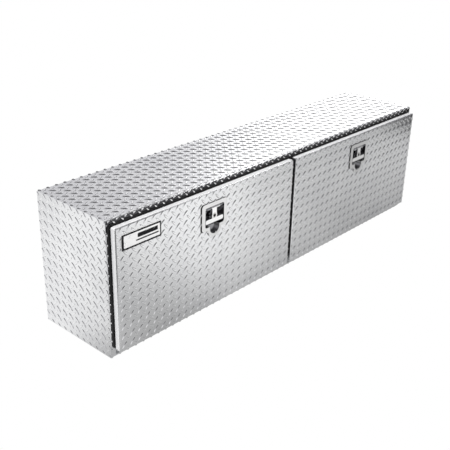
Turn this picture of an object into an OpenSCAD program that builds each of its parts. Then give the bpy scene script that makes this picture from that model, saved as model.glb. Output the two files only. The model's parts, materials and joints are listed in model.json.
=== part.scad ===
// Long truck tool box in aluminium tread plate, with two drop-down doors side by side.
// Origin: bottom centre of the whole box. X runs along the length, the doors face -Y and +Z is up.
// Each door hangs on a continuous hinge at its foot. Pulling its handle turns a crank behind the
// latch dish, which draws two lock rods in from the sides. Slotted stays hold the door when level.

/* [Body] */
// Overall length, end panel to end panel
box_l = 1480; // [1400:10:1560]
// Depth of the body without its doors
box_d = 286; // [280:2:310]
// Overall height
box_h = 406; // [400:2:430]
// Thickness of the body's and the doors' sheet
sheet_t = 2; // [1.5:0.5:2]
// Outer radius of the body's folded edges
fold_r = 4; // [3:0.5:5]
// Width of the front frame that each door laps
lip_w = 15; // [15:1:18]
// Depth of the center post behind the front frame
post_d = 66; // [64:1:80]

/* [Doors] */
// Distance from the front frame to the doors' faces
door_proud = 24; // [24:0.5:26]
// Gap between the two doors
door_gap = 14; // [12:1:20]
// Front frame left showing at each end
side_margin = 12; // [10:1:16]
// Front frame left showing above the doors
top_margin = 17; // [14:1:20]
// Front frame left showing below the doors
bottom_margin = 24; // [24:1:28]
// Corner radius of the doors
door_r = 5; // [4:0.5:6]
// Gap behind the doors' folded flanges, which the seal fills
seal_gap = 7; // [7:0.5:8]
// Depth of the door liner's tray behind the front frame
tray_d = 20; // [20:1:24]
// Thickness of the door liner's sheet
liner_t = 1.5; // [1:0.5:1.5]

/* [Hinges] */
// Outer radius of the hinge knuckles
knuckle_r = 3; // [2.8:0.1:3]
// Radius of the hinge pins
hinge_pin_r = 1.6; // [1.4:0.1:1.6]
// Number of knuckles on each hinge, both leaves together
knuckle_n = 15; // [9:2:21]
// Width of each hinge leaf
leaf_w = 16; // [14:1:17]
// Thickness of each hinge leaf
leaf_t = 1.5; // [1.2:0.1:1.5]
// Number of rivets in each hinge leaf
rivet_n = 6; // [3:1:7]

/* [Stays] */
// Radius, from the hinge, of both ends of a stay
stay_r = 150; // [140:1:155]
// Angle between a stay's two ends, seen from the hinge, with the door shut
stay_angle = 16; // [15:0.5:18]
// Angle at which the stays stop the door
door_open = 90; // [80:1:90]
// Half the width of a stay
stay_hw = 10; // [9:0.5:10]
// Thickness of a stay
stay_t = 3; // [2:0.5:3]

/* [Latch] */
// Width of the latch dish's plate
plate_w = 104; // [100:1:110]
// Distance from a door's top edge down to the plate's top edge
plate_drop = 32; // [28:1:40]
// Height of the plate without its tongue
plate_h = 83; // [82:1:90]
// Thickness of the plate and the dish
plate_t = 1.5; // [1.2:0.1:1.5]
// Thickness of the gasket under the plate
gasket_t = 1; // [0.8:0.1:1]
// Width of the dish's opening
bowl_w = 77; // [76:1:80]
// Height of the dish's opening
bowl_h = 61; // [61:1:64]
// Depth of the dish from the plate's face
bowl_d = 18.5; // [18:0.5:18.5]
// Radius of the finger scoop below the dish
scoop_r = 20; // [18:0.5:22]
// Length of the handle's cross bar
bar_l = 72; // [66:1:73]
// Height of the handle's cross bar
bar_h = 13; // [12:0.5:14]
// Radius of the lock cylinder
lock_r = 8; // [7:0.5:8]
// Radius of the crank's rod pins from its axis
crank_r = 22; // [20:0.5:22]
// Angle that the handle pulls out through
handle_pull = 30; // [20:1:30]
// Radius of the lock rods
rod_r = 4; // [3.5:0.1:4]

/* [Label] */
// Width of the blank label plate
label_w = 137; // [120:1:150]
// Height of the blank label plate
label_h = 45; // [40:1:50]

/* [Mounting] */
// Distance between the floor's bolt holes along X
bolt_dx = 1200; // [1000:10:1300]
// Distance between the floor's bolt holes along Y
bolt_dy = 160; // [120:5:200]
// Radius of the floor's bolt holes
bolt_r = 5.5; // [4:0.5:7]

/* [Hidden] */
$fn = 48;
LEFT = -1;
RIGHT = 1;

tread_c = [0.80, 0.81, 0.83];
liner_c = [0.72, 0.73, 0.75];
hinge_c = [0.50, 0.51, 0.53];
stainless_c = [0.86, 0.86, 0.87];
steel_c = [0.62, 0.64, 0.67];
brass_c = [0.80, 0.68, 0.38];
rubber_c = [0.08, 0.08, 0.08];
nylon_c = [0.20, 0.20, 0.21];
label_c = [0.95, 0.95, 0.94];

// Depths, from the back wall to the latch plate's face
front_add = door_proud + gasket_t + plate_t;
back_y = (box_d + front_add) / 2;
frame_y = back_y - box_d;
face_y = frame_y - door_proud;
flange_y = frame_y - seal_gap;
tray_y = frame_y + tray_d;

// Doors and the openings behind them
door_w = (box_l - 2 * side_margin - door_gap) / 2;
door_x = (door_gap + door_w) / 2;
door_z0 = bottom_margin;
door_z1 = box_h - top_margin;
door_h = door_z1 - door_z0;
door_zc = (door_z0 + door_z1) / 2;
open_w = door_w - 2 * lip_w;
open_z0 = door_z0 + lip_w;
open_z1 = door_z1 - lip_w;
open_h = open_z1 - open_z0;
open_zc = (open_z0 + open_z1) / 2;
post_w = door_gap + 2 * lip_w;
tray_gap = 12;
tray_hw = open_w / 2 - tray_gap;
tray_z0 = open_z0 + 9;
tray_z1 = open_z1 - 6;
seal_clear = 0.3;
seal_set = 1;
seal_w = 11;

// Hinges
hinge_y = frame_y - knuckle_r - 0.7;
hinge_z = door_z0 - leaf_t / 2;
hinge_l = door_w - 12;
knuckle_l = hinge_l / knuckle_n;
knuckle_gap = 0.5;
leaf_clear = 0.4;
hinge_bore = 0.06;
rivet_r = 1.6;
rivet_head_r = 3;
rivet_head_h = 0.9;
rivet_tail_r = 2.4;
rivet_set = leaf_w * 0.62;
rivet_clear = 0.05;
rivet_pitch = 2 * knuckle_l;

// Stays: both ends lie at stay_r from the hinge, so a stay turns half as far as its door
pivot_dy = 12;
pivot_a = asin(pivot_dy / stay_r);
pivot_y = hinge_y + pivot_dy;
pivot_z = hinge_z + stay_r * cos(pivot_a);
stud_y = hinge_y + stay_r * sin(pivot_a + stay_angle);
stud_z = hinge_z + stay_r * cos(pivot_a + stay_angle);
stay_tilt = -(pivot_a + stay_angle / 2);
stay_shut = 2 * stay_r * sin(stay_angle / 2);
stay_far = 2 * stay_r * sin((stay_angle + door_open) / 2);
stay_pin_r = 4;
stay_slot_r = 4.3;
stay_head_r = 7;
stay_x = tray_hw + 3;
stay_gap = 0.4;
stay_cap = 2;

// Latch dish, measured on the door's middle line
plate_y = face_y - gasket_t - plate_t;
plate_z1 = door_z1 - plate_drop;
plate_zc = plate_z1 - plate_h / 2;
bowl_z1 = plate_z1 - 12;
bowl_zc = bowl_z1 - bowl_h / 2;
bowl_z0 = bowl_z1 - bowl_h;
bowl_y = plate_y + bowl_d;
bowl_r = 6;
scoop_z = bowl_z0 - 5;
scoop_y = plate_y + 10.5;
tongue_r = scoop_r + 9;
stud_x = plate_w / 2 - 6.5;
stud_z1 = plate_z1 - 6;
stud_z0 = plate_z1 - plate_h + 6;
plate_stud_r = 2;
plate_stud_l = 5;
plate_r = 10;
nut_r = 4.04;
nut_h = 3.2;

// Handle, hung on a pin across the top of the dish
pin_r = 2.5;
hub_r = 5.5;
handle_y = plate_y + 1;
handle_t = 8;
pin_y = handle_y + hub_r;
pin_z = bowl_z1 - 7;
hub_x0 = -12;
hub_x1 = 23;
stem_w = 18;
bar_z = pin_z - 37.5;
lock_z = pin_z - 24;
boss_r = lock_r + 2.5;
boss_y = handle_y + 12.75;
bore_clear = 0.06;
tail_x0 = 17.5;
tail_drop = 4;
tail_h = 5;
tail_l = 27;
tail_slot = 1.2;
tail_reach = 14.5;

// Lock cylinder's tab, and the hook in the dish that it turns under
tab_y = boss_y + 0.3;
tab_t = 2;
tab_l = 14.5;
hook_x = boss_r + 0.8;
hook_t = 1.6;
hook_l = 5.5;
hook_h = 8;
hook_y = tab_y - 0.7 - hook_t;

// Crank behind the dish
crank_y = bowl_y + plate_t + 3;
crank_t = 3;
crank_turn = handle_pull * 1.15;
crank_a0 = crank_turn / 2;
crank_arm = 19;
crank_arm_r = 3.5;
crank_play = 1.2;
crank_z = pin_z - tail_drop - crank_play - crank_arm_r - crank_arm * sin(crank_a0);
crank_pin_x = crank_r * sin(crank_a0);
crank_pin_z = crank_r * cos(crank_a0);
crank_pin_r = 3;
crank_pin_arm_r = 6;
crank_hub_r = 10;
crank_stud_r = 4;
crank_seat_r = 7;
clip_r = 8;
clip_t = 1;

// Lock rods
rod_y = frame_y + 9.25;
rod_tip = open_w / 2 - 2;
yoke_hw = 7.5;
yoke_hh = 12;
yoke_t = 3;
guide_w = 16;
guide_hh = 10;
guide_wall = 3;
guide_mid_x = 120;
rod_clear = 0.08;

// Bushes that the rods' tips enter, and the end panels' tabs that hold two of them
bush_r = 6.2;
bush_in_r = 4.8;
bush_l = 8;
bush_tab_w = 32;
bush_tab_d = 22;
bush_tab_set = 2;

// Height of the rod on one side of a door: the upper rod runs to -X, the lower one to +X
function rod_z(side) = crank_z - side * crank_pin_z;

// Extrudes a Y-Z outline along X, from x0 to x1
module along_x(x0, x1)
    translate([x0, 0, 0]) rotate([90, 0, 90]) linear_extrude(x1 - x0) children();

// Extrudes an X-Z outline along Y, from y0 to y1
module along_y(y0, y1)
    translate([0, y1, 0]) rotate([90, 0, 0]) linear_extrude(y1 - y0) children();

// Round bar along X or along Y
module bar_x(x0, x1, r)
    translate([x0, 0, 0]) rotate([0, 90, 0]) cylinder(r = r, h = x1 - x0);
module bar_y(y0, y1, r)
    translate([0, y0, 0]) rotate([-90, 0, 0]) cylinder(r = r, h = y1 - y0);

// Flat rectangle with round corners, centred
module round_rect(w, h, r) {
    square([w - 2 * r, h], center = true);
    square([w, h - 2 * r], center = true);
    for (x = [-1, 1], z = [-1, 1])
        translate([x * (w / 2 - r), z * (h / 2 - r)]) circle(r);
}

// Flat bar with round ends, from s0 to s1 along its own axis
module round_bar(s0, s1, r) {
    translate([s0, -r]) square([s1 - s0, 2 * r]);
    for (s = [s0, s1]) translate([s, 0]) circle(r);
}

// Moves a part to its own door's middle
module at_door(side) translate([side * door_x, 0, 0]) children();

// Cross-section of the body at the Y-Z plane
module body_outline(inset)
    translate([(frame_y + back_y) / 2, box_h / 2])
        round_rect(box_d - 2 * inset, box_h - 2 * inset, fold_r - inset);

// ---- Body ----

// Top, back and floor folded from one sheet, with a lip above and below the doors
module body_wrap() color(tread_c) difference() {
    along_x(-box_l / 2 + sheet_t, box_l / 2 - sheet_t) difference() {
        body_outline(0);
        body_outline(sheet_t);
        translate([frame_y - 1, open_z0]) square([sheet_t + 2, open_h]);
    }
    for (x = [-1, 1], y = [-1, 1])
        translate([x * bolt_dx / 2, y * bolt_dy / 2, -1]) cylinder(r = bolt_r, h = sheet_t + 2);
    for (side = [LEFT, RIGHT]) at_door(side) body_rivet_places()
        bar_y(-1, sheet_t + 1, rivet_r + rivet_clear);
}

// End panel with the front frame's upright and a tab that holds a keeper bush
module end_panel(side) color(tread_c) mirror([side > 0 ? 1 : 0, 0, 0]) {
    frame_x = -box_l / 2 + side_margin + lip_w;
    tab_x = frame_x - bush_tab_set - sheet_t;
    along_x(-box_l / 2, -box_l / 2 + sheet_t) body_outline(0);
    translate([-box_l / 2 + sheet_t, frame_y, open_z0])
        cube([side_margin + lip_w - sheet_t, sheet_t, open_h]);
    difference() {
        translate([tab_x, frame_y + sheet_t, rod_z(side) - bush_tab_w / 2])
            cube([sheet_t, bush_tab_d, bush_tab_w]);
        translate([0, rod_y, rod_z(side)]) bar_x(tab_x - 1, tab_x + sheet_t + 1, bush_r);
    }
}

// Channel between the two openings, drilled for two keeper bushes
module center_post() color(tread_c) difference() {
    union() {
        translate([-post_w / 2, frame_y, open_z0]) cube([post_w, sheet_t, open_h]);
        for (x = [-post_w / 2, post_w / 2 - sheet_t]) along_x(x, x + sheet_t) intersection() {
            translate([frame_y + sheet_t, 0]) square([post_d - sheet_t, box_h]);
            body_outline(sheet_t);
        }
    }
    for (side = [LEFT, RIGHT]) translate([0, rod_y, rod_z(-side)])
        bar_x(side * post_w / 2 - sheet_t - 1, side * post_w / 2 + sheet_t + 1, bush_r);
}

// Nylon bushes that the lock rods' tips enter
module keeper_bushes() color(nylon_c)
    for (side = [LEFT, RIGHT], end = [-1, 1]) at_door(side) {
        edge_x = open_w / 2 + (side == end ? bush_tab_set : 0);
        translate([0, rod_y, rod_z(end)]) mirror([end < 0 ? 1 : 0, 0, 0]) difference() {
            bar_x(edge_x, edge_x + bush_l, bush_r - 0.05);
            bar_x(edge_x - 1, edge_x + bush_l + 1, bush_in_r);
        }
    }

// Rubber seal around one opening
module seal(side) color(rubber_c) at_door(side)
    along_y(flange_y + seal_clear, frame_y) translate([0, open_zc]) difference() {
        round_rect(open_w + 2 * (seal_set + seal_w), open_h + 2 * (seal_set + seal_w), 6);
        round_rect(open_w + 2 * seal_set, open_h + 2 * seal_set, 4);
    }

// ---- Continuous hinges ----

// Places for the rivets of a body leaf, and of a door leaf, which lie half a pitch apart
module body_rivet_places()
    for (i = [0:rivet_n - 1])
        translate([(i - (rivet_n - 1) / 2) * rivet_pitch, frame_y, hinge_z - rivet_set]) children();
module door_rivet_places()
    for (i = [0:rivet_n - 1])
        translate([(i - rivet_n / 2 + 1) * rivet_pitch, hinge_y - rivet_set, hinge_z]) children();

// Knuckles numbered from first, every second one
module knuckles(first)
    for (i = [first:2:knuckle_n - 1])
        translate([-hinge_l / 2 + i * knuckle_l + knuckle_gap / 2, 0, 0]) children();

module body_hinge_leaf(side) color(hinge_c) at_door(side) difference() {
    union() {
        translate([-hinge_l / 2, frame_y - leaf_t, hinge_z - leaf_w])
            cube([hinge_l, leaf_t, leaf_w - knuckle_r - leaf_clear]);
        knuckles(0) {
            translate([0, frame_y - leaf_t, hinge_z - leaf_w])
                cube([knuckle_l - knuckle_gap, leaf_t, leaf_w]);
            translate([0, hinge_y, hinge_z]) bar_x(0, knuckle_l - knuckle_gap, knuckle_r);
        }
    }
    translate([0, hinge_y, hinge_z]) bar_x(-hinge_l, hinge_l, hinge_pin_r + hinge_bore);
    body_rivet_places() bar_y(-leaf_t - 1, 1, rivet_r + rivet_clear);
}

module door_hinge_leaf(side) color(hinge_c) at_door(side) difference() {
    union() {
        translate([-hinge_l / 2, hinge_y - leaf_w, hinge_z - leaf_t / 2])
            cube([hinge_l, leaf_w - knuckle_r - leaf_clear, leaf_t]);
        knuckles(1) {
            translate([0, hinge_y - leaf_w, hinge_z - leaf_t / 2])
                cube([knuckle_l - knuckle_gap, leaf_w, leaf_t]);
            translate([0, hinge_y, hinge_z]) bar_x(0, knuckle_l - knuckle_gap, knuckle_r);
        }
    }
    translate([0, hinge_y, hinge_z]) bar_x(-hinge_l, hinge_l, hinge_pin_r + hinge_bore);
    door_rivet_places() translate([0, 0, -leaf_t]) cylinder(r = rivet_r + rivet_clear, h = 2 * leaf_t);
}

module hinge_pin(side) color(steel_c) at_door(side)
    translate([0, hinge_y, hinge_z]) bar_x(-hinge_l / 2, hinge_l / 2, hinge_pin_r);

module body_hinge_rivets() color(steel_c)
    for (side = [LEFT, RIGHT]) at_door(side) body_rivet_places() {
        bar_y(-leaf_t, sheet_t, rivet_r);
        bar_y(-leaf_t - rivet_head_h, -leaf_t, rivet_head_r);
        bar_y(sheet_t, sheet_t + rivet_head_h, rivet_tail_r);
    }

module door_hinge_rivets(side) color(steel_c) at_door(side) door_rivet_places() {
    translate([0, 0, -leaf_t / 2]) cylinder(r = rivet_r, h = leaf_t + sheet_t);
    translate([0, 0, -leaf_t / 2 - rivet_head_h]) cylinder(r = rivet_head_r, h = rivet_head_h);
    translate([0, 0, leaf_t / 2 + sheet_t]) cylinder(r = rivet_tail_r, h = rivet_head_h);
}

// ---- Door stays ----

// Studs on the end panels and the post that the slotted stays slide over
module stay_studs() color(stainless_c)
    for (side = [LEFT, RIGHT], end = [-1, 1]) at_door(side) {
        wall_x = side == end ? (box_l - 2 * sheet_t) / 2 - door_x : door_x - post_w / 2;
        translate([0, stud_y, stud_z]) mirror([end < 0 ? 1 : 0, 0, 0]) {
            bar_x(stay_x + stay_t + stay_gap, wall_x, stay_head_r);
            bar_x(stay_x - stay_gap - stay_cap, wall_x, stay_pin_r);
            bar_x(stay_x - stay_gap - stay_cap, stay_x - stay_gap, stay_head_r);
        }
    }

// Shoulder studs on the liner that the stays turn on
module stay_pivots(side) color(stainless_c) at_door(side)
    for (end = [-1, 1]) translate([0, pivot_y, pivot_z]) mirror([end < 0 ? 1 : 0, 0, 0]) {
        bar_x(tray_hw, stay_x - stay_gap, stay_head_r);
        bar_x(tray_hw, stay_x + stay_t + stay_gap + stay_cap, stay_pin_r);
        bar_x(stay_x + stay_t + stay_gap, stay_x + stay_t + stay_gap + stay_cap, stay_head_r);
    }

module stay(side, end) color(stainless_c) at_door(side) mirror([end < 0 ? 1 : 0, 0, 0])
    along_x(stay_x, stay_x + stay_t) translate([pivot_y, pivot_z]) rotate(stay_tilt) difference() {
        round_bar(0, stay_far + 12, stay_hw);
        round_bar(stay_shut - 2, stay_far + 1, stay_slot_r);
        circle(stay_pin_r + bore_clear);
    }

// ---- Door shells ----

// Outlines cut in the skin and the gasket around the dish
module dish_cutout(margin) {
    translate([0, bowl_zc]) round_rect(bowl_w + 2 * margin, bowl_h + 2 * margin, bowl_r + margin);
    translate([0, scoop_z]) circle(scoop_r + margin);
    translate([-scoop_r - margin, scoop_z]) square([2 * (scoop_r + margin), bowl_z0 - scoop_z + 8]);
}
module plate_outline() {
    translate([0, plate_zc]) round_rect(plate_w, plate_h, plate_r);
    translate([0, scoop_z]) circle(tongue_r);
}
module plate_stud_places()
    for (x = [-stud_x, stud_x], z = [stud_z0, stud_z1]) translate([x, 0, z]) children();

// Tread plate pan with flanges folded back on all four sides
module door_skin(side) color(tread_c) at_door(side) difference() {
    along_y(face_y, flange_y) translate([0, door_zc]) round_rect(door_w, door_h, door_r);
    along_y(face_y + sheet_t, flange_y + 1) translate([0, door_zc])
        round_rect(door_w - 2 * sheet_t, door_h - 2 * sheet_t, door_r - sheet_t);
    along_y(face_y - 1, face_y + sheet_t + 1) dish_cutout(plate_t + 0.8);
    plate_stud_places() bar_y(face_y - 1, face_y + sheet_t + 1, plate_stud_r + 0.3);
    door_rivet_places() cylinder(r = rivet_r + rivet_clear, h = leaf_t / 2 + sheet_t + 1);
}

// Inner tray that closes the back of the pan and passes through the opening
module door_liner(side) color(liner_c) at_door(side) {
    tray_zc = (tray_z0 + tray_z1) / 2;
    tray_h = tray_z1 - tray_z0;
    difference() {
        union() {
            along_y(flange_y - liner_t, flange_y) translate([0, door_zc])
                round_rect(door_w - 2 * sheet_t, door_h - 2 * sheet_t, door_r - sheet_t);
            along_y(flange_y - liner_t, tray_y) translate([0, tray_zc])
                round_rect(2 * tray_hw, tray_h, 8);
        }
        along_y(flange_y - liner_t - 1, tray_y - liner_t) translate([0, tray_zc])
            round_rect(2 * (tray_hw - liner_t), tray_h - 2 * liner_t, 8 - liner_t);
        for (end = [-1, 1]) translate([0, rod_y, rod_z(end)])
            bar_x(end * tray_hw - 3, end * tray_hw + 3, rod_r + 1.5);
    }
}

module label_plate() color(label_c) at_door(LEFT)
    along_y(face_y - 0.6, face_y)
        translate([-door_w / 2 + 17 + label_w / 2, door_z1 - 23 - label_h / 2])
            round_rect(label_w, label_h, 3);

// ---- Latch ----

// Pressed stainless dish with its finger scoop, plate studs and crank stud
module latch_dish(side) color(stainless_c) at_door(side) {
    difference() {
        union() {
            along_y(plate_y, plate_y + plate_t) plate_outline();
            along_y(plate_y, bowl_y + plate_t) translate([0, bowl_zc])
                round_rect(bowl_w + 2 * plate_t, bowl_h + 2 * plate_t, bowl_r + plate_t);
            along_y(plate_y, scoop_y + plate_t) dish_cutout(plate_t);
        }
        along_y(plate_y - 1, bowl_y) translate([0, bowl_zc]) round_rect(bowl_w, bowl_h, bowl_r);
        along_y(plate_y - 1, scoop_y) dish_cutout(0);
        translate([0, pin_y, pin_z]) bar_x(-bowl_w, bowl_w, pin_r + 0.05);
        translate([tail_x0 - tail_slot, bowl_y - 1, pin_z - tail_reach])
            cube([hub_x1 - tail_x0 + 2 * tail_slot, plate_t + 2, tail_reach + 3]);
    }
    plate_stud_places() bar_y(plate_y + plate_t, face_y + sheet_t + plate_stud_l, plate_stud_r);
    translate([0, 0, crank_z]) {
        bar_y(bowl_y + plate_t, crank_y - 0.3, crank_seat_r);
        bar_y(bowl_y + plate_t, crank_y + crank_t + clip_t + 1.8, crank_stud_r);
    }
}

// Bent hook welded inside the dish, which the locked tab turns under
module tab_hook(side) color(stainless_c) at_door(side)
    translate([hook_x, hook_y, lock_z - hook_h / 2]) {
        cube([hook_l, hook_t, hook_h]);
        translate([hook_l - hook_t, 0, 0]) cube([hook_t, bowl_y - hook_y, hook_h]);
    }

module latch_gasket(side) color(rubber_c) at_door(side) difference() {
    along_y(face_y - gasket_t, face_y) difference() {
        plate_outline();
        dish_cutout(plate_t + 0.5);
    }
    plate_stud_places() bar_y(face_y - gasket_t - 1, face_y + 1, plate_stud_r + 0.3);
}

module latch_nuts(side) color(steel_c) at_door(side) plate_stud_places() difference() {
    translate([0, face_y + sheet_t, 0]) rotate([-90, 0, 0]) cylinder(r = nut_r, h = nut_h, $fn = 6);
    bar_y(face_y, face_y + sheet_t + plate_stud_l, plate_stud_r + 0.05);
}

module handle_pin(side) color(steel_c) at_door(side)
    translate([0, pin_y, pin_z]) bar_x(-bowl_w / 2 - plate_t, bowl_w / 2 + plate_t, pin_r);

// Torsion spring round the handle's pin: its closely wound coils as a sleeve, and its lower leg
module handle_spring(side) color(steel_c) at_door(side) translate([0, pin_y, pin_z]) {
    wire_r = 0.9;
    coil_r = 4;
    difference() {
        bar_x(-30, -15, coil_r + wire_r);
        bar_x(-31, -14, coil_r - wire_r);
    }
    translate([-28, coil_r, -14]) cylinder(r = wire_r, h = 14);
}

// T-shaped handle with its hub, its lock boss and the tail that works the crank
module handle(side) color(stainless_c) at_door(side) difference() {
    union() {
        translate([0, pin_y, pin_z]) bar_x(hub_x0, hub_x1, hub_r);
        along_y(handle_y, handle_y + handle_t) {
            translate([-stem_w / 2, bar_z]) square([stem_w, pin_z - bar_z]);
            translate([0, bar_z]) round_rect(bar_l, bar_h, 5);
        }
        translate([0, 0, lock_z]) bar_y(handle_y, boss_y, boss_r);
        translate([tail_x0, pin_y, pin_z - tail_drop]) cube([hub_x1 - tail_x0, tail_l, tail_h]);
    }
    translate([0, pin_y, pin_z]) bar_x(hub_x0 - 1, hub_x1 + 1, pin_r + bore_clear);
    translate([0, 0, lock_z]) bar_y(handle_y - 1, boss_y + 1, lock_r + bore_clear);
}

// Lock cylinder with its keyway in front
module lock_cylinder(side) color(brass_c) at_door(side) translate([0, 0, lock_z]) difference() {
    bar_y(handle_y - 0.3, tab_y, lock_r);
    translate([-0.8, handle_y - 1, -4]) cube([1.6, 4, 8]);
}

// Tab fastened behind the lock cylinder
module lock_tab(side) color(steel_c) at_door(side) translate([0, 0, lock_z])
    along_y(tab_y, tab_y + tab_t) {
        circle(5);
        translate([-2.5, -tab_l]) square([5, tab_l]);
    }

// Crank with a pin for each rod and an arm under the handle's tail
module crank(side) color(steel_c) at_door(side) translate([0, 0, crank_z]) difference() {
    union() {
        along_y(crank_y, crank_y + crank_t) {
            circle(crank_hub_r);
            for (end = [-1, 1]) rotate(end < 0 ? 90 + crank_a0 : -90 + crank_a0)
                round_bar(0, crank_r, crank_pin_arm_r);
            rotate(crank_a0) round_bar(0, crank_arm, crank_arm_r);
        }
        for (end = [-1, 1]) translate([end * crank_pin_x, 0, -end * crank_pin_z])
            bar_y(crank_y, rod_y + 2, crank_pin_r);
    }
    bar_y(crank_y - 1, crank_y + crank_t + 1, crank_stud_r + bore_clear);
}

// Ring that keeps the crank on its stud
module crank_clip(side) color(steel_c) at_door(side) translate([0, 0, crank_z]) difference() {
    bar_y(crank_y + crank_t + 0.3, crank_y + crank_t + 0.3 + clip_t, clip_r);
    bar_y(crank_y, crank_y + crank_t + 2, crank_stud_r + 0.03);
}

// Lock rod with a slotted yoke for the crank's pin
module lock_rod(side, end) color(steel_c) at_door(side) translate([0, rod_y, rod_z(end)])
    mirror([end < 0 ? 1 : 0, 0, 0]) difference() {
        union() {
            bar_x(crank_pin_x + 5, rod_tip, rod_r);
            translate([crank_pin_x - yoke_hw, -yoke_t / 2, -yoke_hh])
                cube([2 * yoke_hw, yoke_t, 2 * yoke_hh]);
        }
        translate([crank_pin_x - crank_pin_r - 0.3, -rod_r - 1, -5])
            cube([2 * crank_pin_r + 0.6, 2 * rod_r + 2, 10]);
    }

// Nylon blocks on the liner that the rods slide in
module rod_guides(side) color(nylon_c) at_door(side)
    for (end = [-1, 1], x = [guide_mid_x, tray_hw - liner_t - guide_w / 2])
        translate([end * x, 0, rod_z(end)]) difference() {
            translate([-guide_w / 2, rod_y - rod_r - guide_wall, -guide_hh])
                cube([guide_w, tray_y - liner_t - rod_y + rod_r + guide_wall, 2 * guide_hh]);
            translate([0, rod_y, 0]) bar_x(-guide_w, guide_w, rod_r + rod_clear);
        }

body_wrap();
end_panel(LEFT);  // left_end_panel
end_panel(RIGHT);  // right_end_panel
center_post();
seal(LEFT);  // left_seal
seal(RIGHT);  // right_seal
body_hinge_leaf(LEFT);  // left_body_hinge_leaf
body_hinge_leaf(RIGHT);  // right_body_hinge_leaf
hinge_pin(LEFT);  // left_hinge_pin
hinge_pin(RIGHT);  // right_hinge_pin
body_hinge_rivets();
stay_studs();
keeper_bushes();
label_plate();
door_skin(LEFT);  // left_door_skin
door_liner(LEFT);  // left_door_liner
door_hinge_leaf(LEFT);  // left_door_hinge_leaf
door_hinge_rivets(LEFT);  // left_door_hinge_rivets
latch_dish(LEFT);  // left_latch_dish
tab_hook(LEFT);  // left_tab_hook
latch_gasket(LEFT);  // left_latch_gasket
latch_nuts(LEFT);  // left_latch_nuts
crank_clip(LEFT);  // left_crank_clip
handle_pin(LEFT);  // left_handle_pin
handle_spring(LEFT);  // left_handle_spring
rod_guides(LEFT);  // left_rod_guides
stay_pivots(LEFT);  // left_stay_pivots
handle(LEFT);  // left_handle
lock_cylinder(LEFT);  // left_lock_cylinder
lock_tab(LEFT);  // left_lock_tab
crank(LEFT);  // left_crank
lock_rod(LEFT, -1);  // left_upper_rod
lock_rod(LEFT, 1);  // left_lower_rod
stay(LEFT, -1);  // left_outer_stay
stay(LEFT, 1);  // left_inner_stay
door_skin(RIGHT);  // right_door_skin
door_liner(RIGHT);  // right_door_liner
door_hinge_leaf(RIGHT);  // right_door_hinge_leaf
door_hinge_rivets(RIGHT);  // right_door_hinge_rivets
latch_dish(RIGHT);  // right_latch_dish
tab_hook(RIGHT);  // right_tab_hook
latch_gasket(RIGHT);  // right_latch_gasket
latch_nuts(RIGHT);  // right_latch_nuts
crank_clip(RIGHT);  // right_crank_clip
handle_pin(RIGHT);  // right_handle_pin
handle_spring(RIGHT);  // right_handle_spring
rod_guides(RIGHT);  // right_rod_guides
stay_pivots(RIGHT);  // right_stay_pivots
handle(RIGHT);  // right_handle
lock_cylinder(RIGHT);  // right_lock_cylinder
lock_tab(RIGHT);  // right_lock_tab
crank(RIGHT);  // right_crank
lock_rod(RIGHT, -1);  // right_upper_rod
lock_rod(RIGHT, 1);  // right_lower_rod
stay(RIGHT, -1);  // right_inner_stay
stay(RIGHT, 1);  // right_outer_stay
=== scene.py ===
"""Truck tool box in bright tread plate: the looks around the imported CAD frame."""
import json
import math

import bmesh
import bpy
from mathutils import Matrix, Vector


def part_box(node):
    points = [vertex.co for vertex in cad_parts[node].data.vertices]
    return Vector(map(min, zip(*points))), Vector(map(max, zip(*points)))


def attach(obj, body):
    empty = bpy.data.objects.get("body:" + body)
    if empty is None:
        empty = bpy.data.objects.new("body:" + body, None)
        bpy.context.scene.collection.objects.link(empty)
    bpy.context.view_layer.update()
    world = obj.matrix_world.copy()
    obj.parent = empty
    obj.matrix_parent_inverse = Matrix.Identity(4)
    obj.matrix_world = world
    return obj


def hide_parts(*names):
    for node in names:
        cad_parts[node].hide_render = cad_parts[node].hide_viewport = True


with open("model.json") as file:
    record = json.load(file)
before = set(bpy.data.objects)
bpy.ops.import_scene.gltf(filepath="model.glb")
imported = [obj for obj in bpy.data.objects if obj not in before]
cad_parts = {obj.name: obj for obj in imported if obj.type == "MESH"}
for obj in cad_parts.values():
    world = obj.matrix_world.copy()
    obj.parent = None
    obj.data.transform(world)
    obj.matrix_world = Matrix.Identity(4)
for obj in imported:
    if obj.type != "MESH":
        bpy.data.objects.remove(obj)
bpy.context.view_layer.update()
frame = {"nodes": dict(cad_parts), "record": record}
MM = 0.001
SIDES = ("left", "right")

# ---- Camera: the photograph's viewing angle ----
VIEW_AZIMUTH, VIEW_ELEVATION, VIEW_ROLL = -48.13, 24.86, 1.36
VIEW_AIM = Vector((-0.1492, 0.0, 0.161))
VIEW_DISTANCE = 2.4507
LENS_MM = 60.55


def make_camera():
    a, e = math.radians(VIEW_AZIMUTH), math.radians(VIEW_ELEVATION)
    back = Vector((math.sin(a) * math.cos(e), -math.cos(a) * math.cos(e), math.sin(e)))
    data = bpy.data.cameras.new("camera")
    data.lens, data.sensor_width = LENS_MM, 36.0
    data.clip_start, data.clip_end = 0.05, 100.0
    camera = bpy.data.objects.new("camera", data)
    bpy.context.scene.collection.objects.link(camera)
    turn = (-back).to_track_quat("-Z", "Y").to_matrix().to_4x4()
    roll = Matrix.Rotation(math.radians(VIEW_ROLL), 4, "Z")
    camera.matrix_world = Matrix.Translation(VIEW_AIM + VIEW_DISTANCE * back) @ turn @ roll
    bpy.context.scene.camera = camera


# ---- Materials ----
def opaque(value):
    """A colour with alpha from a grey level or from three channels."""
    return (*value, 1.0) if isinstance(value, tuple) else (value, value, value, 1.0)


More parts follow.
